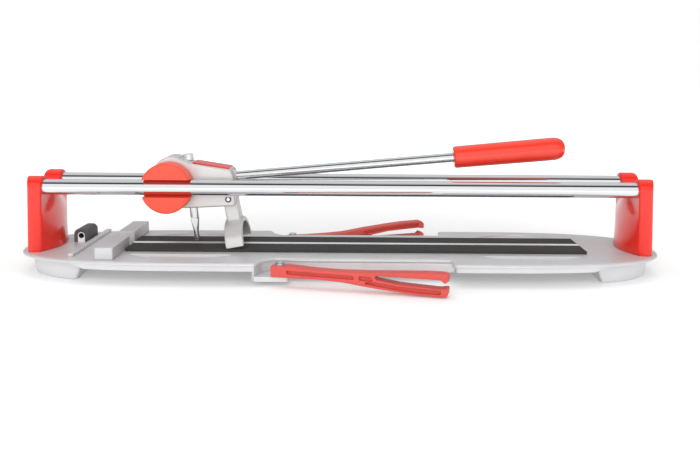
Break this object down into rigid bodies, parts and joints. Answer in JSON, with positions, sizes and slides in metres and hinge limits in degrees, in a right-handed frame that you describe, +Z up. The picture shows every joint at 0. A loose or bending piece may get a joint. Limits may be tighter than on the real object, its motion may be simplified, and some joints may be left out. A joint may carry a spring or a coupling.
{
  "type": "tile cutter",
  "caption": "Manual tile cutter: cast base with rubber strips, twin round rails between red posts, sliding lever head with scoring wheel and breaker, swing-out side arms.",
  "frame": {"origin": "centre of the base in plan, on the table plane under the foot pads", "axes": "+X along the rails, from the stop blocks towards the grip end; +Y away from the front edge; +Z up"},
  "size_m": [0.668, 0.268, 0.1413],
  "materials": {
    "cast_aluminium": "satin cast and coated aluminium",
    "stop_aluminium": "satin grey cast aluminium",
    "red_plastic": "smooth moulded plastic",
    "disc_plastic": "smooth moulded low-friction plastic",
    "arm_plastic": "moulded glass-filled plastic",
    "grip_rubber": "soft-touch dipped plastic",
    "chrome": "hard chromed, polished",
    "plated_steel": "bright zinc plated",
    "black_steel": "blackened",
    "rib_steel": "ground bright",
    "strip_rubber": "fine matt rubber",
    "pad_rubber": "moulded rubber",
    "dark_plastic": "moulded plastic",
    "light_plastic": "moulded plastic",
    "carbide": "ground tungsten carbide"
  },
  "bodies": {
    "root": {"base_plate": "cast_aluminium", "left_foot": "cast_aluminium", "right_foot": "cast_aluminium", "front_arm_lug": "cast_aluminium", "rear_arm_lug": "cast_aluminium", "foot_pads": "pad_rubber", "breaking_rib": "rib_steel", "rib_screws": "plated_steel", "rubber_strip_front": "strip_rubber", "rubber_strip_rear": "strip_rubber", "stop_block_front": "stop_aluminium", "stop_block_rear": "stop_aluminium", "stop_screws": "plated_steel", "wheel_case": "dark_plastic", "case_insert": "light_plastic", "case_screw": "plated_steel", "left_post": "red_plastic", "right_post": "red_plastic", "post_screws": "plated_steel", "front_rail": "chrome", "rear_rail": "chrome", "rail_screws": "plated_steel", "arm_screws": "plated_steel", "arm_washers": "plated_steel"},
    "carriage": {"slider_front": "disc_plastic", "slider_rear": "disc_plastic", "head_axle": "plated_steel"},
    "head": {"head_casting": "cast_aluminium", "head_top_strip": "red_plastic", "lever_rod": "chrome", "lever_grip": "grip_rubber", "lever_set_screw": "black_steel", "wheel_holder": "plated_steel", "holder_screw": "plated_steel", "wheel_pin": "black_steel", "breaker_pin": "plated_steel", "breaker_clips": "black_steel"},
    "wheel": {"scoring_wheel": "carbide"},
    "breaker": {"breaker_foot": "cast_aluminium"},
    "front_arm": {"front_arm": "arm_plastic"},
    "rear_arm": {"rear_arm": "arm_plastic"}
  },
  "joints": [
    {"name": "carriage_slide", "type": "slide", "parent": "root", "child": "carriage", "axis": [1, 0, 0], "range_m": [-0.076, 0.372]},
    {"name": "lever_lift", "type": "hinge", "parent": "carriage", "child": "head", "pos_m": [-0.178, 0, 0.0895], "axis": [0, -1, 0], "range_deg": [0, 22]},
    {"name": "breaker_swing", "type": "hinge", "parent": "head", "child": "breaker", "pos_m": [-0.117, 0, 0.0756], "axis": [0, -1, 0], "range_deg": [-34, 2]},
    {"name": "wheel_spin", "type": "hinge", "parent": "head", "child": "wheel", "pos_m": [-0.1536, 0, 0.0304], "axis": [0, -1, 0], "continuous": true},
    {"name": "front_arm_swing", "type": "hinge", "parent": "root", "child": "front_arm", "pos_m": [-0.057, -0.083, 0.0162], "axis": [0, 0, -1], "range_deg": [-12.5, 77.5]},
    {"name": "rear_arm_swing", "type": "hinge", "parent": "root", "child": "rear_arm", "pos_m": [-0.057, 0.083, 0.0116], "axis": [0, 0, 1], "range_deg": [-19, 71]}
  ]
}
